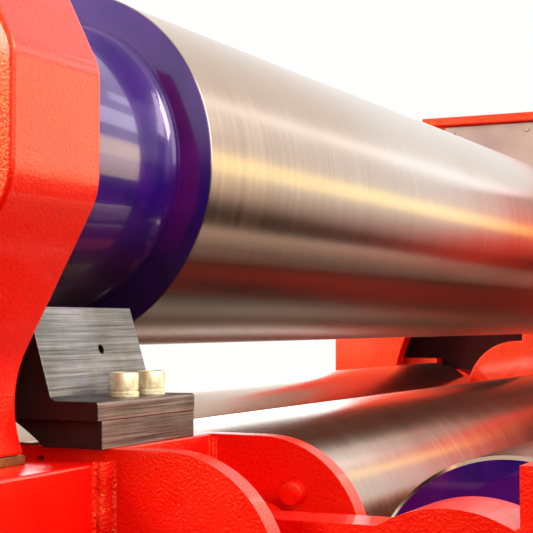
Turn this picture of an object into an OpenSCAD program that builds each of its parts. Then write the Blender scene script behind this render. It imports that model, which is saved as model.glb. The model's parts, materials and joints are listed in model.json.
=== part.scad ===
// Four-roll plate bending machine, seen from its drop end.
// X runs along the rolls with the drop end at low X, Y runs across the rolls
// with the operator side at low Y, Z is up. All sizes are in millimetres.
// Inside the modules X is counted from the near end face of the top roll barrel
// and Z from the axis of the top roll; place() moves all of it onto the floor.
// What stands on both sides of the rolls is made by one module and its side,
// which is -1 at the front and 1 at the rear.

/* [Rolls] */
// Barrel length of the rolls
roll_len = 3100; // [1500:50:4000]
// Radius of the top roll barrel
top_r = 220; // [200:1:225]
// Radius of the pinch roll barrel
pinch_r = 198; // [150:1:198]
// Radius of the side roll barrels
side_r = 160; // [120:1:165]
// Height of the top roll axis above the floor
axis_h = 1500; // [1400:10:1800]
// Radius of the painted journal at the near end of the top roll
journal_r = 168; // [150:1:170]
// Width of the painted ring round the end face of the top roll
rim_w = 36; // [25:1:40]
// Radius of the pinch roll journals
pinch_journal_r = 95; // [70:1:98]
// Radius of the side roll journals
side_journal_r = 70; // [50:1:72]
// Depth of the lowered pinch roll axis below the top roll axis
pinch_drop = 530; // [525:1:560]
// Lift of the pinch roll
pinch_lift = 100; // [40:1:104]

/* [Swing arms of the side rolls] */
// Sideways distance of the arm pivots from the middle
pivot_y = 308; // [304:1:314]
// Depth of the arm pivots below the top roll axis
pivot_z = 432; // [432:1:436]
// Sideways distance of the lowered side rolls
side_y = 572; // [570:1:590]
// Depth of the lowered side rolls
side_z = 488; // [480:1:500]
// Radius of the side roll housing on the arm
boss_r = 130; // [120:1:135]
// Length of the side roll housing along its axis
boss_w = 97; // [80:1:105]
// Radius of the arm pivot pins
arm_pin_r = 28; // [20:1:32]
// Radius of the arm's hub round its pivot pin
hub_r = 50; // [45:1:54]
// Thickness of the arm plate
arm_plate_t = 60; // [40:1:70]
// Radius of the eye for a cylinder pin in the arm's lug
eye_r = 30; // [20:1:34]

/* [Near stand] */
// Thickness of the near cheek plates
cheek_t = 25; // [20:1:34]
// Depth of the cheek tops below the top roll axis
seat_z = 313; // [313:1:316]
// Radius of the rounded cheek corners
lobe_r = 119; // [112:1:119]
// Distance of the outer faces of the guide webs from the middle
web_y = 246; // [244:1:256]
// Thickness of the guide webs
web_t = 40; // [30:1:41]
// Half width of the slot in the cheeks
slot_y = 176; // [170:1:180]
// Distance of the outer faces of the base beams from the middle
beam_y = 760; // [740:5:850]
// Width of the base beams
beam_w = 240; // [150:5:280]
// Height of the base beams
beam_h = 320; // [200:5:360]

/* [Roll rest] */
// Thickness of the shims under the roll rest
shim_t = 28; // [15:1:30]
// Height of the top of the rest's feet above the cheeks
foot_h = 47; // [42:1:60]
// Gap between the roll rest and the journal
rest_gap = 5; // [5:1:10]

/* [Drop end yoke] */
// Half width of the yoke across its middle
yoke_y = 266; // [255:1:280]
// Thickness of the yoke
yoke_t = 139; // [125:1:150]
// Height of the yoke above the top roll axis
yoke_top = 264; // [230:1:300]
// Half width of the yoke's neck
neck_y = 170; // [165:1:180]
// Radius of the hollow side of the neck
neck_r = 112; // [100:1:160]
// Radius of the hinge pin of the yoke
hinge_r = 45; // [35:1:50]
// Depth of the hinge pin below the top roll axis
hinge_z = 425; // [422:1:436]

/* [Far stand] */
// Thickness of the far cheek plates
far_cheek_t = 60; // [40:1:64]
// Half width of the far housing
far_y = 990; // [960:1:1060]
// Height of the far housing above the top roll axis
far_top = 535; // [500:1:580]
// Half width of the far housing at its top
far_top_y = 640; // [600:1:700]
// Height where the sides of the far housing start to lean in
far_shoulder_z = -150; // [-250:10:0]
// Space between the far cheek plates
far_space = 128; // [120:1:160]
// Length of the gear case of the top roll
drive_len = 300; // [200:10:400]
// Radius of the gear case of the top roll
drive_r = 230; // [180:5:260]
// Length of the motor of the top roll
motor_len = 200; // [120:10:300]
// Radius of the motor of the top roll
motor_r = 110; // [80:5:140]

/* [Hidden] */
$fn = 96;

fit = 0.05;
eps = 0.5;
red = [0.85, 0.06, 0.03];
steel = [0.55, 0.53, 0.50];
dark_steel = [0.30, 0.28, 0.26];
blue = [0.12, 0.06, 0.40];
bronze = [0.70, 0.42, 0.18];
grey = [0.42, 0.38, 0.42];

// planes along X of the near stand, which ends 24 mm before the barrels
near_gap = 24;
stand_w = 233.5;
inner_back = -near_gap;
inner_face = inner_back - cheek_t;
outer_face = -near_gap - stand_w;
outer_back = outer_face + cheek_t;
floor_z = -axis_h;

// planes along X of the far stand
far_gap = 112;
far_in = roll_len + far_gap;
far_in_back = far_in + far_cheek_t;
far_out = far_in_back + far_space;
far_out_back = far_out + far_cheek_t;

// planes along X of the yoke and its hinge
yoke_gap = 50.5;
yoke_in = outer_face - yoke_gap;
yoke_out = yoke_in - yoke_t;
hinge_inset = 29;
hinge_x = yoke_out + hinge_inset;
// the hinge lugs are round about the pin, up to the top of the hinge cheeks
hinge_top = -326;
hinge_lug_r = hinge_top + hinge_z;

// hubs and pinch blocks stand between the cheeks with this gap
side_gap = 10;
near_hub0 = outer_back + side_gap;
near_hub1 = inner_face - side_gap;

// the side roll housings and the far blocks are this wide, within the cheeks
slide_w = 111;
arm_inset = 27.5;
near_x = outer_back + arm_inset;
far_x = far_in_back + (far_space - slide_w) / 2;

// overall length and the shift that centres the machine over the origin
x_low = hinge_x - hinge_lug_r;
x_high = far_out_back + drive_len + motor_len;
x_shift = -(x_low + x_high) / 2;

module place() {
    translate([x_shift, 0, axis_h]) children();
}

// a cylinder along X from x0 to x1
module rod_x(x0, x1, r, y = 0, z = 0) {
    translate([x0, y, z]) rotate([0, 90, 0]) cylinder(h = x1 - x0, r = r);
}

// a cylinder along Y, centred on the middle plane
module rod_y(x, z, half_len, r) {
    translate([x, half_len, z]) rotate([90, 0, 0]) cylinder(h = 2 * half_len, r = r);
}

// an outline drawn in Y and Z, made solid from x0 to x1
module slab_x(x0, x1) {
    translate([x0, 0, 0])
        rotate([90, 0, 90])
            linear_extrude(x1 - x0) children();
}

// a box between two corners
module block(x0, x1, y0, y1, z0, z1) {
    translate([x0, y0, z0]) cube([x1 - x0, y1 - y0, z1 - z0]);
}

// an outline and its mirror image across the middle
module both() {
    children();
    mirror([1, 0]) children();
}

// the front or the rear copy of a piece that is drawn at positive Y
module on_side(side) {
    place() scale([1, side, 1]) children();
}

function unit(v) = v / norm(v);

// points of an arc from angle a to angle b in n steps
function arc(c, r, a, b, n) = [
    for (i = [0:n]) c + r * [cos(a + (b - a) * i / n), sin(a + (b - a) * i / n)]
];

// points that round the corner p1 between p0 and p2
function rounded(p0, p1, p2, r, n = 8) =
    let (
        u = unit(p0 - p1),
        v = unit(p2 - p1),
        half = acos(u * v) / 2,
        c = p1 + unit(u + v) * r / sin(half),
        s = p1 + u * r / tan(half) - c,
        e = p1 + v * r / tan(half) - c,
        a = atan2(s[1], s[0]),
        turn = atan2(s[0] * e[1] - s[1] * e[0], s * e)
    )
    arc(c, r, a, a + turn, n);

// Base

beam_top = floor_z + beam_h;
beam_in = beam_y - beam_w;
toe_w = 70;
toe_t = 30;
anchor_r = 14;
anchor_inset = 250;

module base_beam(side) {
    color(red) on_side(side)
        difference() {
            union() {
                block(inner_back, far_in, beam_in, beam_y, floor_z, beam_top);
                block(inner_back, far_in, beam_y - eps, beam_y + toe_w, floor_z, floor_z + toe_t);
            }
            for (x = [inner_back + anchor_inset, far_in - anchor_inset])
                translate([x, beam_y + toe_w / 2, floor_z - eps])
                    cylinder(h = toe_t + 2 * eps, r = anchor_r);
        }
}

module base_beam_front() { base_beam(-1); }
module base_beam_rear() { base_beam(1); }

cross_h = 150;
cross_top = floor_z + cross_h;

module cross_block(x0, x1) {
    color(red) place() block(x0, x1, -slot_y, slot_y, floor_z, cross_top);
}

module base_cross_near() { cross_block(outer_back, inner_face); }
module base_cross_far() { cross_block(far_in_back, far_out); }

cross_mid_w = 160;
cross_mid_h = 200;

module base_cross_mid() {
    color(red) place()
        for (part = [1, 2])
            translate([roll_len * part / 3 - cross_mid_w / 2, 0, 0])
                block(0, cross_mid_w, -beam_in, beam_in, floor_z, floor_z + cross_mid_h);
}

// Near stand

waist_h = 600;
waist_z = floor_z + waist_h;
pocket_z = -700;
pocket_drop = 60;
lift_window_y = 90;
lift_window_top = -700;
cheek_y = pivot_y + lobe_r;

// window_y and window_top bound the opening in front of the pinch roll and its lift
module cheek_outline(window_y, window_top) {
    difference() {
        union() {
            both() translate([pivot_y, -pivot_z]) circle(lobe_r);
            both() polygon([
                [0, -seat_z], [pivot_y, -seat_z], [cheek_y, -pivot_z], [cheek_y, waist_z],
                [beam_y, beam_top], [beam_y, floor_z], [0, floor_z]
            ]);
        }
        translate([-window_y, cross_top]) square([2 * window_y, window_top - cross_top]);
        both() translate([pivot_y, -pivot_z]) circle(arm_pin_r);
    }
}

module near_cheek_outer() {
    color(red) place() slab_x(outer_face, outer_back) cheek_outline(lift_window_y, lift_window_top);
}

module near_cheek_inner() {
    color(red) place() slab_x(inner_face, inner_back) cheek_outline(slot_y, -seat_z + eps);
}

// the guide web runs down beside the pinch block, and a liner closes the pocket
// below the arm and the side of the stand
liner_t = 30;

module near_web(side) {
    color(red) on_side(side)
        slab_x(outer_back, inner_face)
            polygon([
                [web_y - web_t, -seat_z], [web_y, -seat_z], [web_y, pocket_z],
                [cheek_y, pocket_z - pocket_drop], [cheek_y, waist_z],
                [beam_y, beam_top], [beam_y, floor_z], [beam_y - liner_t, floor_z],
                [beam_y - liner_t, beam_top], [cheek_y - liner_t, waist_z],
                [cheek_y - liner_t, pocket_z - pocket_drop - liner_t],
                [web_y - web_t, pocket_z - liner_t]
            ]);
}

module near_web_front() { near_web(-1); }
module near_web_rear() { near_web(1); }

// Roll rest, a bridge over the pinch block with a foot on each cheek pair

rest_over = 23.5;
rest_set_back = 39;
rest_x0 = outer_face - rest_over;
rest_x1 = inner_face - rest_set_back;
rest_top = -journal_r - rest_gap;
foot_top = -seat_z + foot_h;
wall_top_y = 163;
wall_foot_y = 191;
foot_edge = 2;
foot_fillet_w = 5;
foot_fillet_h = 3;
shim_set_back = 1;
shim_end_gap = 9;
arch_depth = 63;
arch_set_back = 1;

// circle of the arch, through the inner lower corners of the shims and its crown
arch_y = slot_y + arch_set_back;
arch_r = (arch_y * arch_y + arch_depth * arch_depth) / (2 * arch_depth);
arch_z = -seat_z + arch_depth - arch_r;

module rest_shim(side) {
    color(dark_steel) on_side(side)
        slab_x(rest_x0 + shim_end_gap, rest_x1)
            difference() {
                translate([0, -seat_z]) square([web_y - shim_set_back, shim_t]);
                translate([0, arch_z]) circle(arch_r);
            }
}

module rest_shim_front() { rest_shim(-1); }
module rest_shim_rear() { rest_shim(1); }

module roll_rest() {
    color(steel) place()
        slab_x(rest_x0, rest_x1)
            difference() {
                both() polygon([
                    [0, rest_top], [wall_top_y, rest_top], [wall_foot_y, foot_top + foot_fillet_h],
                    [wall_foot_y + foot_fillet_w, foot_top], [web_y - foot_edge, foot_top],
                    [web_y, foot_top - foot_edge], [web_y, -seat_z + shim_t],
                    [0, -seat_z + shim_t]
                ]);
                translate([0, arch_z]) circle(arch_r);
            }
}

// Hinge of the drop end

stem_y = 140;
hinge_cheek_in = stem_y + side_gap;
hinge_set_back = 6;
hinge_cheek_out = web_y - hinge_set_back;
hinge_rib_low = -700;
pad_t = 9;
pad_out = 181;

module hinge_cheek(side) {
    color(red) on_side(side)
        translate([0, hinge_cheek_out, 0]) rotate([90, 0, 0])
            linear_extrude(hinge_cheek_out - hinge_cheek_in)
                difference() {
                    union() {
                        polygon([
                            [outer_face, hinge_top], [hinge_x, hinge_top],
                            [hinge_x - hinge_lug_r, -hinge_z], [outer_face, hinge_rib_low]
                        ]);
                        intersection() {
                            translate([hinge_x, -hinge_z]) circle(hinge_lug_r);
                            translate([hinge_x - hinge_lug_r, -hinge_z - hinge_lug_r])
                                square([outer_face - hinge_x + hinge_lug_r, 2 * hinge_lug_r]);
                        }
                    }
                    translate([hinge_x, -hinge_z]) circle(hinge_r);
                }
}

module hinge_cheek_front() { hinge_cheek(-1); }
module hinge_cheek_rear() { hinge_cheek(1); }

hinge_pin_end = 8;

module hinge_pin() {
    color(steel) place() rod_y(hinge_x, -hinge_z, hinge_cheek_out + hinge_pin_end, hinge_r);
}

module yoke_pad(side) {
    color(bronze) on_side(side)
        block(hinge_x, yoke_in, hinge_cheek_in, pad_out, hinge_top, hinge_top + pad_t);
}

module yoke_pad_front() { yoke_pad(-1); }
module yoke_pad_rear() { yoke_pad(1); }

// Drop end yoke

pad_gap = 0.4;
flat_high = 51;
flat_low = -68;
top_lean = 26.6;
top_corner_r = 30;
high_corner_r = 45;
low_corner_r = 75;
neck_z = -268;
neck_steps = 10;
shoulder_z = hinge_top + pad_t + pad_gap;
stem_r = 62;

// the lower flank leaves the upright side and runs onto the hollow of the neck
flank = [yoke_y, flat_low];
neck_c = [neck_y + neck_r, neck_z];
neck_off = neck_c - flank;
flank_dir = atan2(neck_off[1], neck_off[0]) - asin(neck_r / norm(neck_off));
flank_len = sqrt(neck_off * neck_off - neck_r * neck_r);
flank_end = flank + flank_len * [cos(flank_dir), sin(flank_dir)];
top_corner = [yoke_y - (yoke_top - flat_high) * tan(top_lean), yoke_top];
high_corner = [yoke_y, flat_high];

module yoke_outline() {
    both() polygon(concat(
        [[0, shoulder_z], [0, yoke_top]],
        rounded([0, yoke_top], top_corner, high_corner, top_corner_r),
        rounded(top_corner, high_corner, flank, high_corner_r),
        rounded(high_corner, flank, flank_end, low_corner_r),
        arc(neck_c, neck_r, flank_dir + 270, 180 - asin((shoulder_z - neck_z) / neck_r), neck_steps)
    ));
}

// bore for the bearing round the tapered end of the top roll
bore_gap = 4;

module yoke_seat() {
    rod_x(yoke_out - eps, yoke_in + eps, journal_r + bore_gap);
}

module yoke() {
    color(red) place()
        difference() {
            union() {
                slab_x(yoke_out, yoke_in) yoke_outline();
                block(yoke_out, yoke_in, -stem_y, stem_y, -hinge_z, shoulder_z + eps);
                rod_y(hinge_x, -hinge_z, stem_y, stem_r);
            }
            yoke_seat();
            rod_y(hinge_x, -hinge_z, yoke_y, hinge_r + fit);
        }
}

// the cover closes the bore from outside
cover_r = 190;
cover_t = 20;
cover_cap_r = 70;
cover_cap_t = 12;

module yoke_cover() {
    color(red) place() {
        rod_x(yoke_out - cover_t, yoke_out, cover_r);
        rod_x(yoke_out - cover_t - cover_cap_t, yoke_out - cover_t + eps, cover_cap_r);
    }
}

// Top roll, with a painted ring and fillet between the barrel and the journal

rim_d = 7;
ring_edge = 3;
fillet_start = 12;
fillet_depth = 62;
fillet_steps = 8;
far_journal_r = 140;
far_shoulder = 40;
far_shoulder_edge = 20;
far_end_gap = 5;
ring_r = top_r - rim_w;
taper_tip_r = 110;
tip_gap = 6;
taper_start = 12;

// quarter ellipse from the painted ring down to the journal
function fillet_points(x0, x1, r0, r1) = [
    for (i = [0:fillet_steps])
        let (t = 90 * i / fillet_steps)
        [r1 + (r0 - r1) * (1 - sin(t)), x0 + (x1 - x0) * (1 - cos(t))]
];

module top_roll() {
    color(blue) place()
        rotate([0, 90, 0])
            rotate_extrude()
                polygon(concat(
                    [
                        [0, yoke_out + tip_gap], [taper_tip_r, yoke_out + tip_gap],
                        [journal_r, yoke_in + taper_start]
                    ],
                    [
                        for (i = [fillet_steps:-1:0])
                            fillet_points(-fillet_start, -fillet_depth, ring_r - ring_edge, journal_r)[i]
                    ],
                    [
                        [ring_r, -rim_d], [top_r, 0],
                        [top_r, roll_len], [ring_r, roll_len + rim_d],
                        [far_journal_r + far_shoulder_edge, roll_len + far_shoulder - far_shoulder_edge],
                        [far_journal_r, roll_len + far_shoulder],
                        [far_journal_r, far_out_back - far_end_gap], [0, far_out_back - far_end_gap]
                    ]
                ));
}

// Pinch roll with its two blocks and lift cylinders

block_gap = 8;
block_y = web_y - web_t - block_gap;
block_half_h = 125;
block_chamfer = 43;
block_top_y = block_y - block_chamfer;
pinch_z = -pinch_drop;
block_wall = 12;
journal_end_gap = 8;

module pinch_roll() {
    color(steel) place() translate([0, 0, pinch_z]) {
        rod_x(0, roll_len, pinch_r);
        rod_x(near_hub0 + block_wall + journal_end_gap, eps, pinch_journal_r);
        rod_x(roll_len - eps, far_x + slide_w - block_wall - journal_end_gap, pinch_journal_r);
    }
}

// open0 and open1 bound the journal's hole along X
module pinch_block(x0, x1, open0, open1) {
    color(steel) place() translate([0, 0, pinch_z])
        difference() {
            slab_x(x0, x1)
                both() polygon([
                    [0, -block_half_h], [block_y, -block_half_h],
                    [block_y, block_half_h - block_chamfer],
                    [block_top_y, block_half_h], [0, block_half_h]
                ]);
            rod_x(open0, open1, pinch_journal_r + fit);
        }
}

module pinch_block_near() {
    pinch_block(near_hub0, near_hub1, near_hub0 + block_wall, near_hub1 + eps);
}

module pinch_block_far() {
    pinch_block(far_x, far_x + slide_w, far_x - eps, far_x + slide_w - block_wall);
}

lift_rod_r = 40;
barrel_r = 52;
barrel_top = -850;
rod_low = -1180;
barrel_spare = 20;
near_lift_x = (near_hub0 + near_hub1) / 2;
far_lift_x = far_x + slide_w / 2;

module lift_rod(x) {
    color(steel) place() translate([x, 0, rod_low])
        cylinder(h = pinch_z - block_half_h - rod_low, r = lift_rod_r);
}

module lift_rod_near() { lift_rod(near_lift_x); }
module lift_rod_far() { lift_rod(far_lift_x); }

module lift_barrel(x) {
    color(red) place() translate([x, 0, 0])
        difference() {
            translate([0, 0, cross_top]) cylinder(h = barrel_top - cross_top, r = barrel_r);
            translate([0, 0, rod_low - barrel_spare])
                cylinder(h = barrel_top - rod_low + 2 * barrel_spare, r = lift_rod_r + fit);
        }
}

module lift_barrel_near() { lift_barrel(near_lift_x); }
module lift_barrel_far() { lift_barrel(far_lift_x); }

// Side roll arms. The closed end of the housing faces away from the roll, so
// the far arms mirror the near ones, with a hub as wide as the far blocks.

// The eye in the lug lies outside the housing, so that a pin can go through it.
arm_cap = 12;
lug_start = 62;
lug_in = side_y + lug_start;
lug_w = 160;
lug_top = -318;
lug_low = -560;
eye_inset = 104;
eye_y = lug_in + eye_inset;
eye_z = -400;
neck_step = 22;
arm_neck_r = boss_r - neck_step;
plate_shift = 7;

// two round ends joined by their outer tangents
module link_outline(c0, r0, c1, r1) {
    dir = atan2(c1[1] - c0[1], c1[0] - c0[0]);
    off = acos((r0 - r1) / norm(c1 - c0));
    up = [cos(dir + off), sin(dir + off)];
    down = [cos(dir - off), sin(dir - off)];
    translate(c0) circle(r0);
    translate(c1) circle(r1);
    polygon([c0 + r0 * up, c1 + r1 * up, c1 + r1 * down, c0 + r0 * down]);
}

module arm_outline() {
    link_outline([pivot_y, -pivot_z], hub_r, [side_y, -side_z], arm_neck_r);
    translate([lug_in, lug_low]) square([lug_w, lug_top - lug_low]);
}

// hub0 and hub1 bound the hub along X
module arm(side, hub0, hub1) {
    plate_x = near_x + (slide_w - arm_plate_t) / 2 - plate_shift;
    color(red) on_side(side)
        difference() {
            union() {
                slab_x(plate_x, plate_x + arm_plate_t) arm_outline();
                rod_x(hub0, hub1, hub_r, pivot_y, -pivot_z);
                rod_x(near_x, near_x + boss_w, boss_r, side_y, -side_z);
            }
            rod_x(hub0 - eps, hub1 + eps, arm_pin_r + fit, pivot_y, -pivot_z);
            rod_x(near_x + arm_cap, near_x + boss_w + eps, side_journal_r + fit, side_y, -side_z);
            rod_x(plate_x - eps, plate_x + arm_plate_t + eps, eye_r, eye_y, eye_z);
        }
}

module arm_near(side) {
    arm(side, near_hub0, near_hub1);
}

module arm_far(side) {
    translate([2 * x_shift + near_x + far_x + slide_w, 0, 0])
        mirror([1, 0, 0])
            arm(side, near_x, near_x + slide_w);
}

module arm_near_front() { arm_near(-1); }
module arm_near_rear() { arm_near(1); }
module arm_far_front() { arm_far(-1); }
module arm_far_rear() { arm_far(1); }

pin_end = 4;

module arm_pin(side, x0, x1) {
    color(steel) on_side(side) rod_x(x0, x1, arm_pin_r, pivot_y, -pivot_z);
}

module arm_pin_near_front() { arm_pin(-1, outer_face - pin_end, inner_back - pin_end); }
module arm_pin_near_rear() { arm_pin(1, outer_face - pin_end, inner_back - pin_end); }
module arm_pin_far_front() { arm_pin(-1, far_in + pin_end, far_out_back + pin_end); }
module arm_pin_far_rear() { arm_pin(1, far_in + pin_end, far_out_back + pin_end); }

side_chamfer = 4;
side_journal_end = 6;

module side_roll(side) {
    near_end = near_x + arm_cap + side_journal_end;
    far_end = far_x + slide_w - arm_cap - side_journal_end;
    color(steel) on_side(side) translate([0, side_y, -side_z])
        rotate([0, 90, 0])
            rotate_extrude()
                polygon([
                    [0, near_end], [side_journal_r, near_end], [side_journal_r, 0],
                    [side_r - side_chamfer, 0], [side_r, side_chamfer],
                    [side_r, roll_len - side_chamfer], [side_r - side_chamfer, roll_len],
                    [side_journal_r, roll_len], [side_journal_r, far_end], [0, far_end]
                ]);
}

module side_roll_front() { side_roll(-1); }
module side_roll_rear() { side_roll(1); }

// Far stand

window_in_r = 180;
window_out_r = 450;
window_low = -40;
window_high = 95;
window_reach = 2 * window_out_r;

// sector of a ring round the arm's pivot, through which the side roll's journal swings
module swing_window() {
    translate([pivot_y, -pivot_z])
        intersection() {
            difference() {
                circle(window_out_r);
                circle(window_in_r);
            }
            polygon([
                [0, 0],
                window_reach * [cos(window_low), sin(window_low)],
                window_reach * [1, 1],
                window_reach * [cos(window_high), sin(window_high)]
            ]);
        }
}

pinch_slot_gap = 25;
pinch_slot_y = pinch_journal_r + pinch_slot_gap;

module far_outline() {
    difference() {
        polygon([
            [-far_y, floor_z], [far_y, floor_z], [far_y, far_shoulder_z],
            [far_top_y, far_top], [-far_top_y, far_top], [-far_y, far_shoulder_z]
        ]);
        both() translate([pivot_y, -pivot_z]) circle(arm_pin_r);
        circle(far_journal_r + fit);
        children();
    }
}

module far_cheek_inner() {
    color(red) place()
        slab_x(far_in, far_in_back)
            far_outline() {
                both() swing_window();
                translate([-pinch_slot_y, pinch_z - pinch_slot_y])
                    square([2 * pinch_slot_y, pinch_lift + 2 * pinch_slot_y]);
            }
}

// the outer cheek is closed but for the holes through which the cylinder pins go in
access_r = 45;

module far_cheek_outer() {
    color(red) place()
        slab_x(far_out, far_out_back)
            far_outline() both() translate([eye_y, eye_z]) circle(access_r);
}

beam_drop = 30;

// closes the side of the housing, and guides the pinch block inside it
module far_side(side) {
    color(red) on_side(side)
        slab_x(far_in_back, far_out) {
            polygon([
                [far_y - liner_t, floor_z], [far_y, floor_z], [far_y, far_shoulder_z],
                [far_top_y, far_top], [far_top_y - liner_t, far_top],
                [far_y - liner_t, far_shoulder_z]
            ]);
            translate([web_y - web_t, cross_top]) square([web_t, -seat_z - cross_top]);
        }
}

module far_side_front() { far_side(-1); }
module far_side_rear() { far_side(1); }

top_beam_reach = 30;

module far_top_beam() {
    color(red) place() {
        block(
            far_in - top_beam_reach, far_in, -far_top_y, far_top_y, far_top - beam_drop, far_top
        );
        block(
            far_in_back, far_out, liner_t - far_top_y, far_top_y - liner_t, far_top - beam_drop, far_top
        );
    }
}

panel_y = 560;
panel_drop = 4;
panel_top = far_top - beam_drop - panel_drop;
panel_low = 240;
panel_t = 12;

module far_panel() {
    color(grey) place() block(far_in - panel_t, far_in, -panel_y, panel_y, panel_low, panel_top);
}

bearing_ring_r = 230;
bearing_ring_t = 30;
bearing_ring_gap = 8;

module far_bearing_ring() {
    color(red) place()
        difference() {
            rod_x(far_in - bearing_ring_t, far_in, bearing_ring_r);
            rod_x(
                far_in - bearing_ring_t - eps, far_in + eps, far_journal_r + bearing_ring_gap
            );
        }
}

flange_t = 40;
flange_step = 40;

module roll_drive() {
    color(red) place() {
        rod_x(far_out_back, far_out_back + flange_t, drive_r);
        rod_x(far_out_back + flange_t - eps, far_out_back + drive_len, drive_r - flange_step);
        rod_x(far_out_back + drive_len - eps, far_out_back + drive_len + motor_len, motor_r);
    }
}

base_beam_front();
base_beam_rear();
base_cross_near();
base_cross_mid();
base_cross_far();
near_cheek_outer();
near_cheek_inner();
near_web_front();
near_web_rear();
hinge_cheek_front();
hinge_cheek_rear();
hinge_pin();
yoke_pad_front();
yoke_pad_rear();
rest_shim_front();
rest_shim_rear();
roll_rest();
arm_pin_near_front();
arm_pin_near_rear();
arm_pin_far_front();
arm_pin_far_rear();
far_cheek_inner();
far_cheek_outer();
far_side_front();
far_side_rear();
far_top_beam();
far_panel();
far_bearing_ring();
roll_drive();
lift_barrel_near();
lift_barrel_far();
yoke();
yoke_cover();
top_roll();
pinch_roll();
pinch_block_near();
pinch_block_far();
lift_rod_near();
lift_rod_far();
arm_near_front();
arm_near_rear();
arm_far_front();
arm_far_rear();
side_roll_front();
side_roll_rear();
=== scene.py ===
# Looks of the four-roll plate bending machine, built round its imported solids.
# Places are given as on the drawing of the machine: millimetres, X from the near
# end face of the top roll barrel, Z from the axis of the top roll.
import json
import math
import random

import bmesh
import bpy
from mathutils import Matrix, Vector


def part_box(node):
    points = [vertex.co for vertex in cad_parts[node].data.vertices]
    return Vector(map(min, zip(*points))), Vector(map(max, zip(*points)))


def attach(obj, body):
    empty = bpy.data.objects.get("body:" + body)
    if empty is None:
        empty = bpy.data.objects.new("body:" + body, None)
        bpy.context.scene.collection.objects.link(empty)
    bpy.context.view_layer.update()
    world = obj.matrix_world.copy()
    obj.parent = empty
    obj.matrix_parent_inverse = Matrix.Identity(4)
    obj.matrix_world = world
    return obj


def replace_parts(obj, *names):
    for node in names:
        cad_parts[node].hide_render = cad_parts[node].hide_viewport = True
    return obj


MM = 0.001

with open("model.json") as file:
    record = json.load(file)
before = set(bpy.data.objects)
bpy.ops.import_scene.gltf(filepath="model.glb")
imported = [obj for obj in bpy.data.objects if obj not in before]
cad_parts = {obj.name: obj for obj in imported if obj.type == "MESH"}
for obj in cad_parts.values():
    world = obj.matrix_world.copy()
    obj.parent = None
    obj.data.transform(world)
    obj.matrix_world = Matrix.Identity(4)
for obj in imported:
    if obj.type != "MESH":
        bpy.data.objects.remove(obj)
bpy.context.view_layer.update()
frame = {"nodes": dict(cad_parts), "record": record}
rng = random.Random(7)

# the drawing's origin in the frame, found from the near cheek's distance to the barrel
# and from the barrel of the top roll
NEAR_GAP = 24.0
SHIFT_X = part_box("near_cheek_inner")[1][0] / MM + NEAR_GAP
TOP_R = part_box("top_roll")[1][1] / MM
AXIS_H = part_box("top_roll")[1][2] / MM - TOP_R
ORIGIN = {"x": SHIFT_X, "y": 0, "z": AXIS_H}
SIDES = ((-1, "front"), (1, "rear"))


def low(node, axis):
    """Lower side of a node's box on the drawing; axis is x, y or z."""
    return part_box(node)[0]["xyz".index(axis)] / MM - ORIGIN[axis]


def high(node, axis):
    """Upper side of a node's box on the drawing."""
    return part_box(node)[1]["xyz".index(axis)] / MM - ORIGIN[axis]


def at(x, y, z):
    """A place on the drawing, in metres in the frame."""
    return Vector(((x + SHIFT_X) * MM, y * MM, (z + AXIS_H) * MM))


def below_axis(distance):
    """Height in the frame, in metres, of a place that far below the top roll's axis."""
    return (AXIS_H - distance) * MM


# sizes of the solids, in millimetres
FAR_GAP = 112.0
ROLL_LEN = low("far_cheek_inner", "x") - FAR_GAP
JOURNAL_R = 168.0
RING_R = 184.0
TAPER_TIP_R = 110.0
FAR_JOURNAL_R = 140.0
PINCH_JOURNAL_R = 95.0
SIDE_JOURNAL_R = 70.0
COVER_T = 20.0
REST_FOOT_T = 47.0
DRIVE_FLANGE_T = 40.0
BEARING_RING_T = 30.0
PANEL_T = 12.0
OUTER_FACE = low("near_cheek_outer", "x")
OUTER_BACK = high("near_cheek_outer", "x")
INNER_FACE = low("near_cheek_inner", "x")
YOKE_OUT = high("yoke_cover", "x")
YOKE_IN = high("yoke", "x")
FAR_IN = low("far_cheek_inner", "x")
FAR_OUT_BACK = high("far_cheek_outer", "x")
SEAT_Z = low("rest_shim_front", "z")
WEB_Y = high("roll_rest", "y")

# Materials

# the colour sockets of a Mix node
MIX_A = 6
MIX_B = 7
MIX_RESULT = 2


class Graph:
    """Short calls that add nodes to a node tree."""

    def __init__(self, tree):
        self.tree = tree

    def add(self, kind):
        return self.tree.nodes.new("ShaderNode" + kind)

    def link(self, output, socket):
        self.tree.links.new(output, socket)

    def ramp(self, value, stops):
        """Colours against a value; stops are (position, colour) in rising order."""
        ramp = self.add("ValToRGB")
        elements = ramp.color_ramp.elements
        while len(elements) < len(stops):
            elements.new(0.5)
        for element, (position, colour) in zip(elements, stops):
            element.position = position
            element.color = (*colour, 1.0)
        self.link(value, ramp.inputs["Fac"])
        return ramp.outputs["Color"]

    def between(self, value, least, most, start=0.3, end=0.7):
        """A value brought from start..end to least..most."""
        ranged = self.add("MapRange")
        ranged.inputs["From Min"].default_value = start
        ranged.inputs["From Max"].default_value = end
        ranged.inputs["To Min"].default_value = least
        ranged.inputs["To Max"].default_value = most
        self.link(value, ranged.inputs["Value"])
        return ranged.outputs["Result"]

    def by_ray(self, seen, others):
        """One shader for what the camera sees itself and one for all other rays."""
        rays = self.add("LightPath")
        mix = self.add("MixShader")
        self.link(rays.outputs["Is Camera Ray"], mix.inputs["Fac"])
        self.link(others, mix.inputs[1])
        self.link(seen, mix.inputs[2])
        return mix.outputs["Shader"]


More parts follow.
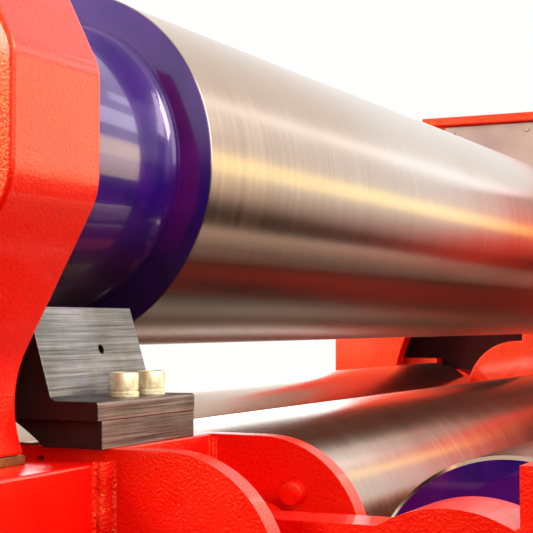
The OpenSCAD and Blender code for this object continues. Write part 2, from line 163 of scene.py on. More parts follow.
class Nodes(Graph):
    """A material and short calls that add its nodes."""

    def __init__(self, name):
        self.material = bpy.data.materials.new(name)
        self.material.use_nodes = True
        super().__init__(self.material.node_tree)
        self.shader = self.tree.nodes["Principled BSDF"]
        self.place = self.add("TexCoord").outputs["Object"]

    def set(self, **values):
        for name, value in values.items():
            self.shader.inputs[name.replace("_", " ")].default_value = value

    def noise(self, scale, detail=2.0, stretch=(1, 1, 1), roughness=0.5):
        """Noise of that scale per metre, stretched along the axes."""
        mapping = self.add("Mapping")
        mapping.inputs["Scale"].default_value = stretch
        self.link(self.place, mapping.inputs["Vector"])
        noise = self.add("TexNoise")
        noise.inputs["Scale"].default_value = scale
        noise.inputs["Detail"].default_value = detail
        noise.inputs["Roughness"].default_value = roughness
        self.link(mapping.outputs["Vector"], noise.inputs["Vector"])
        return noise.outputs["Fac"]

    def height(self):
        """Height of the place on the piece in the frame, in metres."""
        split = self.add("SeparateXYZ")
        self.link(self.place, split.inputs["Vector"])
        return split.outputs["Z"]

    def mix(self, a, b, factor, blend="MULTIPLY"):
        """Two colours mixed by a number or by another output."""
        mix = self.add("Mix")
        mix.data_type = "RGBA"
        mix.blend_type = blend
        if isinstance(factor, float):
            mix.inputs["Factor"].default_value = factor
        else:
            self.link(factor, mix.inputs["Factor"])
        self.link(a, mix.inputs[MIX_A])
        self.link(b, mix.inputs[MIX_B])
        return mix.outputs[MIX_RESULT]

    def bump(self, layers):
        """Bumps stacked from (height, strength, distance)."""
        last = None
        for height, strength, distance in layers:
            bump = self.add("Bump")
            bump.inputs["Strength"].default_value = strength
            bump.inputs["Distance"].default_value = distance
            self.link(height, bump.inputs["Height"])
            if last:
                self.link(last, bump.inputs["Normal"])
            last = bump.outputs["Normal"]
        self.link(last, self.shader.inputs["Normal"])

    def colour(self, output):
        self.link(output, self.shader.inputs["Base Color"])

    def rough(self, output):
        self.link(output, self.shader.inputs["Roughness"])


def paint_red(name, peel, specks, coarse=330):
    """Sprayed machine paint. peel is the strength of its orange peel, specks the share of
    fine dark specks and coarse the number of bumps per metre."""
    m = Nodes(name)
    broad = m.ramp(m.noise(3.5, 3), [(0.35, (0.76, 0.0012, 0.0006)), (0.65, (0.86, 0.0025, 0.0012))])
    grains = m.noise(coarse * 1.2, 2, roughness=0.7)
    dark = m.ramp(grains, [(0.30, (0.45, 0.25, 0.25)), (0.40, (1, 1, 1))])
    m.colour(m.mix(broad, dark, specks))
    m.rough(m.between(m.noise(18, 3), 0.24, 0.34))
    m.bump([(m.noise(9, 2), 0.12, 0.0008), (m.noise(coarse, 3, roughness=0.6), peel, 0.0016)])
    m.set(Specular_IOR_Level=0.62, Specular_Tint=(1.0, 0.72, 0.20, 1.0))
    m.set(Coat_Weight=0.28, Coat_Roughness=0.08)
    return m.material


def paint_inside_shade():
    """Painted shade: dark dull colour for the inside of the far housing, where shade falls."""
    m = Nodes("inside_shade_paint")
    m.colour(m.ramp(m.noise(5, 2), [(0.35, (0.020, 0.002, 0.002)), (0.65, (0.045, 0.004, 0.004))]))
    m.rough(m.between(m.noise(20, 2), 0.70, 0.85))
    m.bump([(m.noise(160, 2), 0.15, 0.0006)])
    m.set(Specular_IOR_Level=0.1)
    return m.material


def paint_blue(name, journal_shade=None):
    """Glossy purple-blue enamel on the ends of the rolls, laid on with a brush. Its optional second argument
    is (full height, end height), in metres, of painted shade under a journal: darker, rougher blue without
    coat that fades out upwards."""
    m = Nodes(name)
    coat = 0.75
    blue = m.ramp(m.noise(24, 3), [(0.35, (0.012, 0.002, 0.100)), (0.65, (0.036, 0.003, 0.135))])
    gloss = m.between(m.noise(30, 2), 0.20, 0.30)
    m.set(Coat_Weight=coat, Coat_Roughness=0.08, Coat_IOR=1.62)
    m.set(Specular_IOR_Level=0.5, Specular_Tint=(0.8, 0.35, 1.0, 1.0))
    if journal_shade:
        # painted shade: the journal's underside goes dark and loses its coat
        full, shade_end = journal_shade
        share = m.between(m.height(), 0.9, 0.0, full, shade_end)
        dark = m.ramp(m.noise(40, 2), [(0.35, (0.003, 0.001, 0.012)), (0.65, (0.008, 0.002, 0.030))])
        blue = m.mix(blue, dark, share, "MIX")
        gloss = m.between(share, 0.25, 0.60, 0, 1)
        m.link(m.between(share, coat, 0.0, 0, 1), m.shader.inputs["Coat Weight"])
    m.colour(blue)
    m.rough(gloss)
    m.bump([(m.noise(60, 2, (1, 0.3, 0.3)), 0.30, 0.0009), (m.noise(240, 2), 0.12, 0.0003)])
    return m.material


def roll_steel(name, barrel_shade=None):
    """Turned and ground roll with fine rings round it and a brown film in patches. Its optional second
    argument is (lower height, upper height), in metres, of painted shade on the roll's underside: dark brown
    steel that is less metallic."""
    m = Nodes(name)
    rings = m.noise(70, 4, (1, 0.02, 0.02), 0.65)
    film = m.noise(2.6, 3, (0.6, 1, 1))
    tone = m.ramp(rings, [(0.25, (0.46, 0.355, 0.29)), (0.75, (0.52, 0.42, 0.35))])
    stain = m.ramp(film, [(0.35, (0.84, 0.72, 0.60)), (0.65, (1, 1, 1))])
    steel = m.mix(tone, stain, 0.8)
    if barrel_shade:
        # painted shade: the roll's underside turns dark brown and less metallic
        bottom, top = barrel_shade
        shares = [(position, (share, share, share)) for position, share in BARREL_SHADE_SHARES]
        share = m.ramp(m.between(m.height(), 0, 1, bottom, top), shares)
        brown = m.ramp(film, [(0.35, (0.020, 0.012, 0.008)), (0.65, (0.032, 0.021, 0.015))])
        steel = m.mix(steel, brown, share, "MIX")
        m.link(m.between(share, 1.0, 0.25, 0, 1), m.shader.inputs["Metallic"])
    m.colour(steel)
    m.rough(m.between(rings, 0.19, 0.24))
    m.bump([(m.noise(4.5, 2, (0.35, 1, 1)), 0.08, 0.004), (rings, 0.02, 0.0003)])
    m.set(Metallic=1.0)
    return m.material


def machined(name, dark, light, rough, line_strength=0.5, metallic=0.9):
    """Milled steel with fine horizontal tool lines. rough is its least and most roughness."""
    m = Nodes(name)
    lines = m.noise(170, 5, (0.035, 0.25, 2.4), 0.7)
    cloud = m.noise(14, 4, roughness=0.6)
    tone = m.ramp(lines, [(0.34, dark), (0.62, light)])
    shade = m.ramp(cloud, [(0.34, (0.55, 0.52, 0.42)), (0.60, (1, 1, 1))])
    m.colour(m.mix(tone, shade, 0.85))
    m.rough(m.between(cloud, *rough))
    m.bump([(lines, line_strength, 0.0012)])
    m.set(Metallic=metallic)
    return m.material


def bronze():
    """Cast bronze of the pads under the yoke."""
    m = Nodes("bronze")
    m.colour(m.ramp(m.noise(60, 3), [(0.30, (0.20, 0.085, 0.025)), (0.70, (0.42, 0.21, 0.075))]))
    m.rough(m.between(m.noise(120, 3), 0.34, 0.52))
    m.bump([(m.noise(300, 2), 0.2, 0.0004)])
    m.set(Metallic=0.8)
    return m.material


def zinc():
    """Yellowed zinc of the screws."""
    m = Nodes("zinc")
    m.colour(m.ramp(m.noise(90, 3), [(0.30, (0.62, 0.50, 0.26)), (0.70, (0.92, 0.84, 0.58))]))
    m.rough(m.between(m.noise(160, 2), 0.26, 0.42))
    m.bump([(m.noise(420, 2, (1, 1, 3)), 0.15, 0.0003)])
    m.set(Metallic=0.45)
    return m.material


def paint_grey():
    """Satin grey paint of the far housing's panel."""
    m = Nodes("grey_paint")
    m.colour(m.ramp(m.noise(6, 3), [(0.35, (0.25, 0.155, 0.125)), (0.65, (0.35, 0.23, 0.175))]))
    m.rough(m.between(m.noise(30, 2), 0.35, 0.50))
    m.bump([(m.noise(240, 2), 0.15, 0.0006)])
    m.set(Coat_Weight=0.2, Coat_Roughness=0.25)
    return m.material


# millimetres below the top roll's axis: the painted shade under the journal is darkest at the first and ends
# at the second, and the painted shade under the barrel lies from low to high
JOURNAL_SHADE_FULL = 130.0
JOURNAL_SHADE_END = 50.0
BARREL_SHADE_LOW = 220.0
BARREL_SHADE_HIGH = 70.0
# (place from the painted shade's low to its high end, share of painted shade)
BARREL_SHADE_SHARES = ((0.0, 0.45), (0.20, 0.65), (0.36, 0.98), (0.68, 0.98), (0.96, 0.0))

RED = paint_red("red_paint", peel=0.5, specks=0.7)
SMOOTH_RED = paint_red("smooth_red_paint", peel=0.12, specks=0.3)
WELD_RED = paint_red("weld_paint", peel=1.0, specks=1.0, coarse=260)
BLUE = paint_blue("blue_paint")
# the top roll's journal gets painted shade on its underside
SHADED_BLUE = paint_blue("shaded_blue_paint", (below_axis(JOURNAL_SHADE_FULL), below_axis(JOURNAL_SHADE_END)))
ROLL = roll_steel("roll_steel")
# the top roll's barrel gets painted shade on its underside
SHADED_ROLL = roll_steel("shaded_roll_steel", (below_axis(BARREL_SHADE_LOW), below_axis(BARREL_SHADE_HIGH)))
STEEL = machined(
    "machined_steel", dark=(0.06, 0.062, 0.070), light=(0.27, 0.255, 0.28), rough=(0.28, 0.42),
)
FOOT = machined(
    "foot_steel", dark=(0.06, 0.040, 0.035), light=(0.30, 0.22, 0.20), rough=(0.34, 0.50),
    line_strength=0.3, metallic=0.8,
)
# near-black steel used as painted shade on end faces and under the journal
END_SHADE = machined(
    "dark_steel", dark=(0.010, 0.005, 0.005), light=(0.028, 0.012, 0.012), rough=(0.45, 0.60),
    line_strength=0.05, metallic=0.5,
)
# painted shade for the far housing's inside
INSIDE_SHADE = paint_inside_shade()
BRONZE = bronze()
ZINC = zinc()
GREY = paint_grey()
# the shims, the only dark steel, look like the feet that stand on them
MATERIALS = {
    "red_paint": RED, "roll_steel": ROLL, "machined_steel": STEEL, "dark_steel": FOOT,
    "bronze": BRONZE, "grey_paint": GREY,
}
# the box under the yoke has smoother paint than the cheek plates
OWN_MATERIAL = {"hinge_cheek_front": SMOOTH_RED, "hinge_cheek_rear": SMOOTH_RED}

# Pieces

# metres between corners of a solid's mesh that are one corner
SAME_PLACE = 1e-5
# degrees between faces that are one flat face, between faces shaded as one, and from
# which an edge is rounded
FLAT_ANGLE = 0.5
SHADE_ANGLE = 32
EDGE_ANGLE = 34
# a face looks along a direction when the cosine between them is over this
FACING = 0.8


def body_of(node):
    return next(b for b, members in frame["record"]["behaviour"]["bodies"].items() if node in members)


def slot_of(node):
    return next(s["material_slot"] for s in frame["record"]["subparts"] if s["node"] == node)


def smooth(obj):
    """Smooth shading with the sharper edges kept."""
    mesh = obj.data
    for face in mesh.polygons:
        face.use_smooth = True
    mesh.set_sharp_from_angle(angle=math.radians(SHADE_ANGLE))


def mesh_object(name, bm):
    """An object in the scene with the mesh of bm, which it frees."""
    mesh = bpy.data.meshes.new(name)
    bm.to_mesh(mesh)
    bm.free()
    obj = bpy.data.objects.new(name, mesh)
    bpy.context.scene.collection.objects.link(obj)
    return obj


def new_piece(name, bm, materials, body):
    """A mesh made into a piece that rides on a body."""
    bmesh.ops.recalc_face_normals(bm, faces=bm.faces)
    obj = mesh_object(name, bm)
    for material in materials:
        obj.data.materials.append(material)
    smooth(obj)
    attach(obj, body)
    return obj


def apply_modifiers(obj):
    """Leaves the piece with the mesh that its modifiers make."""
    graph = bpy.context.evaluated_depsgraph_get()
    mesh = bpy.data.meshes.new_from_object(obj.evaluated_get(graph))
    obj.modifiers.clear()
    obj.data = mesh


def dressed(node, width, segments=3, cutters=()):
    """The node's own shape with its coplanar faces joined, holes cut and edges rounded."""
    bm = bmesh.new()
    bm.from_mesh(frame["nodes"][node].data)
    bmesh.ops.remove_doubles(bm, verts=bm.verts, dist=SAME_PLACE)
    bmesh.ops.dissolve_limit(bm, angle_limit=math.radians(FLAT_ANGLE), verts=bm.verts, edges=bm.edges)
    slot = slot_of(node)
    material = OWN_MATERIAL.get(node, MATERIALS[slot])
    obj = new_piece(node + "_dressed", bm, [material], body_of(node))
    for cutter in cutters:
        cut = obj.modifiers.new("hole", "BOOLEAN")
        cut.object = cutter
        cut.operation = "DIFFERENCE"
    bevel = obj.modifiers.new("edges", "BEVEL")
    bevel.width = width * MM
    bevel.segments = segments
    bevel.limit_method = "ANGLE"
    bevel.angle_limit = math.radians(EDGE_ANGLE)
    flat = obj.modifiers.new("flat_faces", "WEIGHTED_NORMAL")
    flat.mode = "FACE_AREA"
    flat.keep_sharp = True
    bpy.context.view_layer.update()
    apply_modifiers(obj)
    for cutter in cutters:
        bpy.data.objects.remove(cutter)
    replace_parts(obj, node)
    return obj


def lathe(name, profile, origin, axis, materials, body, segments=96, radius=None, paint=None):
    """A turned piece. profile is (distance along the axis, radius) in millimetres,
    radius(i, r, angle) may change a ring, and paint(i) picks the material of band i."""
    bm = bmesh.new()
    turn = Vector((1, 0, 0)).rotation_difference(Vector(axis)).to_matrix()
    rings = []
    for i, (x, r) in enumerate(profile):
        if r == 0:
            rings.append([bm.verts.new(origin + turn @ Vector((x * MM, 0, 0)))])
            continue
        ring = []
        for k in range(segments):
            angle = 2 * math.pi * k / segments
            rr = radius(i, r, angle) if radius else r
            spot = Vector((x, rr * math.cos(angle), rr * math.sin(angle))) * MM
            ring.append(bm.verts.new(origin + turn @ spot))
        rings.append(ring)
    for i, (a, b) in enumerate(zip(rings, rings[1:])):
        for k in range(segments):
            k2 = (k + 1) % segments
            if len(a) == 1:
                face = bm.faces.new((a[0], b[k], b[k2]))
            elif len(b) == 1:
                face = bm.faces.new((a[k], b[0], a[k2]))
            else:
                face = bm.faces.new((a[k], b[k], b[k2], a[k2]))
            face.material_index = paint(i) if paint else 0
    return new_piece(name, bm, materials, body)


def hexagon(apothem, angle):
    """Radius of a hexagon at an angle."""
    part = math.pi / 6
    return apothem / math.cos((angle + part) % (2 * part) - part)


def socket_screw(name, x, y, z, body, head_r=15.0, head_h=20.0, key=8.5):
    """Cap screw with a hexagon socket, standing up from a spring washer."""
    washer_r = 15.7
    washer_t = 5.4
    washer_edge = 0.5
    washer = [
        (0, 0), (0, washer_r - washer_edge), (washer_edge, washer_r),
        (washer_t - washer_edge, washer_r), (washer_t, washer_r - washer_edge), (washer_t, 0),
    ]
    lathe(
        name + "_washer", washer, at(x, y, z), (0, 0, 1), [ZINC], body, segments=48,
    )

    # a foot turned down a little, a straight side, an edge rounded in two steps, a socket
    foot_r = head_r - 1.0
    top = washer_t + head_h
    socket_floor = top - 9.0
    profile = [
        (washer_t, 0), (washer_t, foot_r), (washer_t + 1.6, foot_r), (washer_t + 2.4, head_r),
        (top - 2.2, head_r), (top - 0.6, head_r - 0.7), (top, head_r - 2.0), (top, key + 1.0),
        (top - 1.0, key), (socket_floor, key), (socket_floor, 0),
    ]
    socket_from = 8

    def ring(i, r, angle):
        return hexagon(r, angle) if i >= socket_from else r

    lathe(
        name, profile, at(x, y, z), (0, 0, 1), [ZINC], body, segments=60, radius=ring,
    )


def hex_bolt(name, spot, axis, size, body, material=ZINC):
    """Hexagon head with a chamfered top, on a washer. size is the thread's, and the rest
    are its usual shares."""
    washer_r = 1.1 * size
    washer_t = 0.17 * size
    head_r = 0.75 * size
    top_r = 0.86 * head_r
    chamfer_from = washer_t + 0.52 * size
    top = washer_t + 0.64 * size
    profile = [
        (0, 0), (0, washer_r), (washer_t, washer_r), (washer_t, head_r),
        (chamfer_from, head_r), (top, top_r), (top, 0),
    ]
    hexagon_rings = (3, 4)

    def ring(i, r, angle):
        return hexagon(r, angle) if i in hexagon_rings else r

    lathe(name, profile, spot, axis, [material], body, segments=36, radius=ring)


def weld(name, start, end, out_a, out_b, leg, body, coarse=0.05, wide=1.0):
    """Fillet weld in the corner of two faces that look along out_a and out_b. The bead
    reaches leg along out_b and wide times as far along out_a."""
    pitch = 0.004
    ripples = 0.6
    across = 8
    throat = 0.78
    crown = 0.10
    toe_wander = 0.04
    start, end = at(*start), at(*end)
    out_a, out_b = wide * Vector(out_a), Vector(out_b)
    steps = max(8, int((end - start).length / pitch))
    bm = bmesh.new()
    rows = []
    for i in range(steps + 1):
        along = start.lerp(end, i / steps)
        wave = 1 + coarse * math.sin(i * ripples) + rng.uniform(-coarse, coarse) / 2
        row = []
        for k in range(across + 1):
            angle = math.pi / 2 * k / across
            bulge = leg * MM * (throat + crown * math.sin(2 * angle)) * wave
            if k in (0, across):
                bulge = leg * MM * (1 + rng.uniform(-toe_wander, toe_wander))
            row.append(bm.verts.new(along + bulge * (math.cos(angle) * out_a + math.sin(angle) * out_b)))
        row.append(bm.verts.new(along))
        rows.append(row)
    for a, b in zip(rows, rows[1:]):
        for k in range(len(a)):
            k2 = (k + 1) % len(a)
            bm.faces.new((a[k], b[k], b[k2], a[k2]))
    bm.faces.new(rows[0])
    bm.faces.new(rows[-1])
    new_piece(name, bm, [WELD_RED], body)


def cutter(name, spot, axis, r, depth):
    """A plain round tool for a blind hole; it is removed after the cut."""
    turn = Vector((0, 0, 1)).rotation_difference(Vector(axis)).to_matrix().to_4x4()
    bm = bmesh.new()
    bmesh.ops.create_cone(
        bm, cap_ends=True, segments=32, radius1=r * MM, radius2=r * MM, depth=2 * depth * MM,
        matrix=Matrix.Translation(spot) @ turn,
    )
    return mesh_object(name, bm)


# Rolls

# the top roll's near end: where the taper meets the journal, the soft curve from the
# journal up to the ring, and the ring's cone up to the barrel
TIP_X = low("top_roll", "x")
TIP_CHAMFER = 2.0
TAPER_START = YOKE_IN + 12
CURVE_START = -62.0
CURVE_END = -12.0
RING_START = -8.0
CONE_END = -1.5
# its far end: the cone down to the ring's radius, a fillet on the journal, and the
# journal's end a little inside the outer cheek
FAR_CONE = 7.0
FAR_FILLET = 20.0
FAR_TIP_X = FAR_OUT_BACK - 5
# chamfers on the ends, on the ring and on the barrel
END_CHAMFER = 3.0
RING_CHAMFER = 3.0
BARREL_CHAMFER = 1.0
PINCH_CHAMFER = 3.0
SIDE_CHAMFER = 4.0


def quarter(x0, x1, r0, r1, steps=14):
    """Quarter ellipse from one radius down to another."""
    return [
        (x0 + (x1 - x0) * (1 - math.cos(math.pi / 2 * i / steps)),
         r1 + (r0 - r1) * (1 - math.sin(math.pi / 2 * i / steps)))
        for i in range(steps + 1)
    ]


def plain_roll(start, end, journal_r, barrel_r, chamfer):
    """Profile of a roll with plain journals; its barrel is as long as the top roll's."""
    return [
        (start, 0), (start, journal_r - END_CHAMFER), (start + END_CHAMFER, journal_r),
        (0, journal_r), (0, barrel_r - chamfer), (chamfer, barrel_r),
        (ROLL_LEN - chamfer, barrel_r), (ROLL_LEN, barrel_r - chamfer), (ROLL_LEN, journal_r),
        (end - END_CHAMFER, journal_r), (end, journal_r - END_CHAMFER), (end, 0),
    ]


# the bands of that profile that belong to the barrel
PLAIN_BARREL = range(4, 7)


near_profile = [
    (TIP_X, 0), (TIP_X, TAPER_TIP_R - END_CHAMFER), (TIP_X + TIP_CHAMFER, TAPER_TIP_R),
    (TAPER_START, JOURNAL_R),
] + list(reversed(quarter(CURVE_END, CURVE_START, RING_R - RING_CHAMFER, JOURNAL_R))) + [
    (RING_START, RING_R - RING_CHAMFER), (RING_START + 1, RING_R), (CONE_END, TOP_R - RING_CHAMFER),
    (0, TOP_R - BARREL_CHAMFER),
]
top_profile = near_profile + [
    (BARREL_CHAMFER, TOP_R), (ROLL_LEN - BARREL_CHAMFER, TOP_R), (ROLL_LEN, TOP_R - BARREL_CHAMFER),
    (ROLL_LEN + FAR_CONE, RING_R), (ROLL_LEN + FAR_FILLET, FAR_JOURNAL_R + FAR_FILLET),
    (ROLL_LEN + 2 * FAR_FILLET, FAR_JOURNAL_R), (FAR_TIP_X, FAR_JOURNAL_R), (FAR_TIP_X, 0),
]
barrel_start = len(near_profile) - 1
top_steel_bands = range(barrel_start, barrel_start + 3)


def top_paint(i):
    return 1 if i in top_steel_bands else 0


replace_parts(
    lathe(
        "top_roll_dressed", top_profile, at(0, 0, 0), (1, 0, 0), [SHADED_BLUE, SHADED_ROLL],
        "top_roll_body", segments=192, paint=top_paint,
    ),
    "top_roll",
)

PINCH_R = (high("pinch_roll", "z") - low("pinch_roll", "z")) / 2
PINCH_Z = high("pinch_roll", "z") - PINCH_R
pinch_profile = plain_roll(
    low("pinch_roll", "x"), high("pinch_roll", "x"), PINCH_JOURNAL_R, PINCH_R, PINCH_CHAMFER,
)
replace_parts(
    lathe(
        "pinch_roll_dressed", pinch_profile, at(0, 0, PINCH_Z), (1, 0, 0), [ROLL],
        "pinch_roll_body", segments=192,
    ),
    "pinch_roll",
)

SIDE_R = (high("side_roll_rear", "z") - low("side_roll_rear", "z")) / 2
SIDE_Y = high("side_roll_rear", "y") - SIDE_R
SIDE_Z = high("side_roll_rear", "z") - SIDE_R
side_profile = plain_roll(
    low("side_roll_rear", "x"), high("side_roll_rear", "x"), SIDE_JOURNAL_R, SIDE_R, SIDE_CHAMFER,
)


def side_paint(i):
    return 0 if i in PLAIN_BARREL else 1


for side, where in SIDES:
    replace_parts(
        lathe(
            f"side_roll_{where}_dressed", side_profile, at(0, side * SIDE_Y, SIDE_Z), (1, 0, 0),
            [ROLL, BLUE], f"side_roll_{where}_body", segments=160, paint=side_paint,
        ),
        f"side_roll_{where}",
    )

# Painted and machined solids with rounded edges

# width of the rounded edges of each solid, in millimetres; wide ones are rounder
EDGE = {
    "yoke": 10, "yoke_cover": 4, "near_cheek_inner": 5,
    "near_web_front": 2, "near_web_rear": 2, "hinge_cheek_front": 3, "hinge_cheek_rear": 3,
    "far_cheek_inner": 4, "far_cheek_outer": 4, "far_side_front": 3, "far_side_rear": 3,
    "far_top_beam": 4, "far_panel": 2, "far_bearing_ring": 4, "roll_drive": 5,
    "arm_near_front": 5, "arm_near_rear": 5, "arm_far_front": 5, "arm_far_rear": 5,
    "base_beam_front": 5, "base_beam_rear": 5, "base_cross_near": 3, "base_cross_mid": 4,
    "base_cross_far": 3, "lift_barrel_near": 2, "lift_barrel_far": 2, "lift_rod_near": 1,
    "lift_rod_far": 1, "pinch_block_near": 2, "pinch_block_far": 2, "hinge_pin": 3,
    "arm_pin_near_front": 2, "arm_pin_near_rear": 2, "arm_pin_far_front": 2,
    "arm_pin_far_rear": 2, "rest_shim_front": 0.8, "rest_shim_rear": 0.8,
    "yoke_pad_front": 1, "yoke_pad_rear": 1,
}
WIDE_EDGE = 5
pieces = {node: dressed(node, width, 4 if width >= WIDE_EDGE else 2) for node, width in EDGE.items()}

# the inner faces of the far housing get painted shade, near-black
for node, inward in (
    ("far_cheek_inner", (1, 0, 0)), ("far_cheek_outer", (-1, 0, 0)),
    ("far_side_front", (0, 1, 0)), ("far_side_rear", (0, -1, 0)),
):
    pieces[node].data.materials.append(INSIDE_SHADE)
    for face in pieces[node].data.polygons:
        if face.normal.dot(Vector(inward)) > FACING:
            face.material_index = 1

# a small drilled hole in the outer cheek, and one in the rest, square to its sloping wall
CHEEK_HOLE = (OUTER_FACE, -163, -327)
CHEEK_HOLE_R = 4.5
CHEEK_HOLE_DEPTH = 14
WALL_HOLE = (-168, -176, -218)
WALL_HOLE_R = 4.8
WALL_HOLE_DEPTH = 16
WALL_OUT = (0, -1, 0.31)
cheek_cutter = cutter("cheek_hole", at(*CHEEK_HOLE), (-1, 0, 0), CHEEK_HOLE_R, CHEEK_HOLE_DEPTH)
dressed("near_cheek_outer", 5, 4, [cheek_cutter])
wall_cutter = cutter("wall_hole", at(*WALL_HOLE), WALL_OUT, WALL_HOLE_R, WALL_HOLE_DEPTH)
rest = dressed("roll_rest", 1.2, 2, [wall_cutter])

# the feet of the rest are browner than its machined walls; the ends of the shims and of the rest, and the
# trough under the journal, get painted shade in near-black steel
for node in ("rest_shim_front", "rest_shim_rear"):
    pieces[node].data.materials.append(END_SHADE)
    for face in pieces[node].data.polygons:
        if abs(face.normal.x) > FACING:
            face.material_index = 1
REST_FOOT_TOP = SEAT_Z + REST_FOOT_T
REST_FOOT_IN = 190.0
SHADED_TROUGH_IN = 150.0
rest.data.materials.append(FOOT)
rest.data.materials.append(END_SHADE)
for face in rest.data.polygons:
    c = face.center
    if abs(face.normal.x) > FACING or abs(c.y) < SHADED_TROUGH_IN * MM:
        face.material_index = 2
    elif c.z < (REST_FOOT_TOP + AXIS_H + 1) * MM and abs(c.y) > REST_FOOT_IN * MM:
        face.material_index = 1

# Fasteners

SCREW_Y = 217.0
SCREW_X = (-187.0, -133.0)
for side, where in SIDES:
    for k, x in enumerate(SCREW_X):
        socket_screw(f"rest_screw_{where}_{k}", x, side * SCREW_Y, REST_FOOT_TOP, "stand")


def circle_spot(x, r, k, count, shift=0.0):
    """Place k of count on a circle round the top roll's axis, shifted by a share of the
    step between two places."""
    angle = 2 * math.pi * (k + shift) / count
    return at(x, r * math.cos(angle), r * math.sin(angle))


COVER_BOLTS = 8
COVER_BOLT_SIZE = 16
COVER_BOLTS_R = 168.0
for k in range(COVER_BOLTS):
    spot = circle_spot(YOKE_OUT - COVER_T, COVER_BOLTS_R, k, COVER_BOLTS, 0.5)
    hex_bolt(f"cover_bolt_{k}", spot, (-1, 0, 0), COVER_BOLT_SIZE, "yoke_body")

FAR_BOLTS = 12
DRIVE_BOLT_SIZE = 16
DRIVE_BOLTS_R = 212.0
RING_BOLT_SIZE = 14
RING_BOLTS_R = 196.0
for k in range(FAR_BOLTS):
    spot = circle_spot(FAR_OUT_BACK + DRIVE_FLANGE_T, DRIVE_BOLTS_R, k, FAR_BOLTS)
    hex_bolt(f"drive_bolt_{k}", spot, (1, 0, 0), DRIVE_BOLT_SIZE, "stand")
    spot = circle_spot(FAR_IN - BEARING_RING_T, RING_BOLTS_R, k, FAR_BOLTS, 0.5)
    hex_bolt(f"ring_bolt_{k}", spot, (-1, 0, 0), RING_BOLT_SIZE, "stand")

# two rows of bolts along the panel, a little in from its edges
PANEL_COLUMNS = 5
PANEL_BOLT_SIZE = 8
PANEL_Y = high("far_panel", "y") - 30
PANEL_ROWS = (low("far_panel", "z") + 25, high("far_panel", "z") - 25)
for row, z in enumerate(PANEL_ROWS):
    for k in range(PANEL_COLUMNS):
        spot = at(FAR_IN - PANEL_T, PANEL_Y * (2 * k / (PANEL_COLUMNS - 1) - 1), z)
        hex_bolt(
            f"panel_bolt_{row}_{k}", spot, (-1, 0, 0), PANEL_BOLT_SIZE, "stand", GREY,
        )

# Bosses and welds of the near stand

HINGE_OUT = high("hinge_cheek_rear", "y")
HINGE_TOP = high("hinge_cheek_rear", "z")
# the hinge welds start just over the box and the web welds just under the shims
HINGE_WELD_TOP = HINGE_TOP + 2
WEB_WELD_TOP = SEAT_Z - 4
WELD_LOW = -690.0
HINGE_WELD_LEG = 13
WEB_WELD_LEG = 7
BOSS_Y = 348.0
BOSS_Z = -373.0
# straight side, then an edge rounded in two steps
boss_profile = [(0, 0), (0, 13), (11, 13), (13, 12.2), (14, 10.5), (14, 0)]
for side, where in SIDES:
    lathe(
        f"cheek_boss_{where}", boss_profile, at(INNER_FACE, side * BOSS_Y, BOSS_Z), (-1, 0, 0),
        [RED], "stand", segments=48,
    )
    weld(
        f"hinge_weld_{where}", (OUTER_FACE, side * HINGE_OUT, HINGE_WELD_TOP),
        (OUTER_FACE, side * HINGE_OUT, WELD_LOW), (-1, 0, 0), (0, side, 0), HINGE_WELD_LEG, "stand",
        coarse=0.04, wide=1.8,
    )
    for x, out, part in ((OUTER_BACK, 1, "outer"), (INNER_FACE, -1, "inner")):
        weld(
            f"web_weld_{part}_{where}", (x, side * WEB_Y, WEB_WELD_TOP), (x, side * WEB_Y, WELD_LOW),
            (out, 0, 0), (0, side, 0), WEB_WELD_LEG, "stand",
        )

# Floor, light and camera


def lay_floor(half_size, seen, mirrored):
    """A plain floor, pale to look at but dark in what the steel mirrors."""
    bm = bmesh.new()
    bmesh.ops.create_grid(bm, x_segments=1, y_segments=1, size=half_size)
    floor = mesh_object("floor", bm)
    m = Nodes("floor_paint")
    m.set(Base_Color=seen, Roughness=0.8)
    dull = m.add("BsdfDiffuse")
    dull.inputs["Color"].default_value = mirrored
    shade = m.by_ray(m.shader.outputs["BSDF"], dull.outputs["BSDF"])
    m.link(shade, m.tree.nodes["Material Output"].inputs["Surface"])
    floor.data.materials.append(m.material)


def studio_world(seen, sky, tilt):
    """A plain bright backdrop for the camera, and a soft sky over a dark ground as light.
    sky is a list of (height of the direction, brightness, colour), and tilt lowers the
    bright part towards the far end of the rolls."""
    world = bpy.data.worlds.new("studio")
    world.use_nodes = True
    graph = Graph(world.node_tree)
    direction = graph.add("TexCoord").outputs["Generated"]
    height = graph.add("VectorMath")
    height.operation = "DOT_PRODUCT"
    height.inputs[1].default_value = (tilt, 0, 1)
    graph.link(direction, height.inputs[0])
    stops = [((z + 1) / 2, [glow * part for part in colour]) for z, glow, colour in sky]
    light = graph.tree.nodes["Background"]
    graph.link(graph.ramp(graph.between(height.outputs["Value"], 0, 1, -1, 1), stops), light.inputs["Color"])
    backdrop = graph.add("Background")
    backdrop.inputs["Color"].default_value = seen
    shade = graph.by_ray(backdrop.outputs["Background"], light.outputs["Background"])
    graph.link(shade, graph.tree.nodes["World Output"].inputs["Surface"])
    bpy.context.scene.world = world


def softbox(name, place, target, size, glow, colour):
    """A soft area light of a given glow that looks at a point. Places and its width and
    height are in metres in the frame."""
    width, height = size
    light = bpy.data.lights.new(name, "AREA")
    light.shape = "RECTANGLE"
    light.size = width
    light.size_y = height
    light.energy = glow * math.pi * width * height
    light.color = colour
    obj = bpy.data.objects.new(name, light)
    obj.location = place
    obj.rotation_euler = (Vector(target) - Vector(place)).to_track_quat("-Z", "Y").to_euler()
    bpy.context.scene.collection.objects.link(obj)
    obj.visible_camera = False


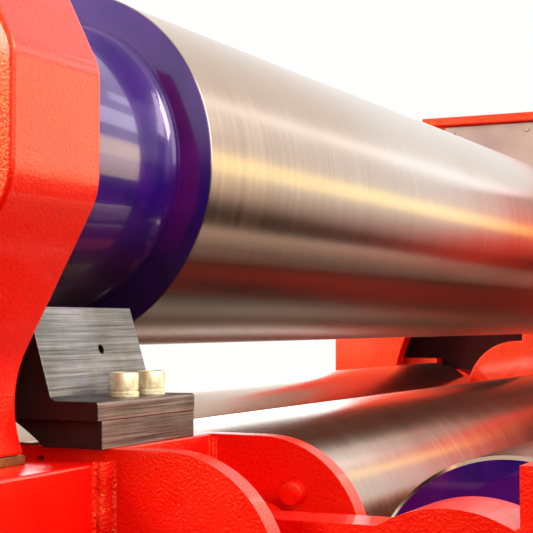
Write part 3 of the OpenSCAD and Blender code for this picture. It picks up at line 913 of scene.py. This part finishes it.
def strip(name, angles, distance, span, glow, colour):
    """A light along the rolls. The angles are seen from the top roll's axis: 0 is level
    on the operator side, 90 is straight up and 180 is level at the rear. span is its
    start and end along X, in metres in the frame."""
    middle = math.radians(sum(angles) / 2)
    half = math.radians((angles[1] - angles[0]) / 2)
    x = sum(span) / 2
    axis_z = AXIS_H * MM
    place = (x, -distance * math.cos(middle), axis_z + distance * math.sin(middle))
    size = (span[1] - span[0], 2 * distance * math.tan(half))
    softbox(name, place, (x, 0, axis_z), size, glow, colour)


SKY = [
    (-1.0, 0.02, (1.0, 0.7, 0.6)), (-0.12, 0.03, (1.0, 0.7, 0.6)), (-0.02, 0.22, (1.0, 0.75, 0.68)),
    (0.04, 0.56, (1.0, 0.76, 0.74)), (0.10, 0.85, (1.0, 0.93, 0.85)), (0.17, 1.20, (0.97, 1.0, 1.03)),
    (0.40, 1.28, (0.97, 0.99, 1.0)), (1.0, 1.20, (1.0, 0.93, 0.84)),
]
lay_floor(10, seen=(0.44, 0.43, 0.42, 1), mirrored=(0.012, 0.010, 0.010, 1))
studio_world((1.0, 1.0, 0.985, 1), SKY, tilt=0.12)
softbox("key", (-4.2, -4.6, 3.8), (-1.9, 0, 1.2), (5.0, 4.0), glow=2.7, colour=(1.0, 0.96, 0.92))
softbox("back_key", (-3.9, 0.9, 2.3), (-1.9, -0.3, 1.0), (0.7, 0.7), glow=34, colour=(1.0, 0.92, 0.88))
softbox("far_key", (-0.8, -3.6, 3.9), (1.6, -0.1, 1.4), (2.0, 2.0), glow=14, colour=(1.0, 0.96, 0.94))
softbox("rear_fill", (-1.8, 3.2, 2.6), (1.4, 0.6, 1.2), (1.6, 1.6), glow=12, colour=(1.0, 0.93, 0.90))
softbox("rear_panel", (4.0, 1.6, 1.97), (4.0, 0, 1.97), (9.0, 1.65), glow=1.9, colour=(1.0, 0.99, 0.98))
softbox("yellow_strip", (0, -0.64, 1.605), (0, -0.22, 1.5), (2.8, 0.11), glow=1.2, colour=(1.0, 0.80, 0.10))
strip("yoke_panel", (-9, 20), 3.4, (0.4, 3.1), glow=2.7, colour=(1.0, 0.79, 0.34))
strip("corner_lamp", (29, 42), 2.6, (0.6, 2.1), glow=2.2, colour=(0.96, 0.98, 1.0))
strip("lamp_strip", (50, 57), 2.6, (1.2, 8.5), glow=1.7, colour=(0.84, 0.93, 1.0))

CAMERA_PLACE = Vector((-3.1147, -0.9668, 1.3107))
CAMERA_LOOK = Vector((0.8988, 0.4365, 0.0412))
CAMERA_LENS = 91.86
CAMERA_SENSOR = 36.0
camera = bpy.data.objects.new("camera", bpy.data.cameras.new("camera"))
camera.data.lens = CAMERA_LENS
camera.data.sensor_width = CAMERA_SENSOR
camera.data.dof.use_dof = False
camera.location = CAMERA_PLACE
camera.rotation_euler = CAMERA_LOOK.to_track_quat("-Z", "Y").to_euler()
bpy.context.scene.collection.objects.link(camera)
bpy.context.scene.camera = camera
bpy.context.scene.view_settings.view_transform = "Standard"
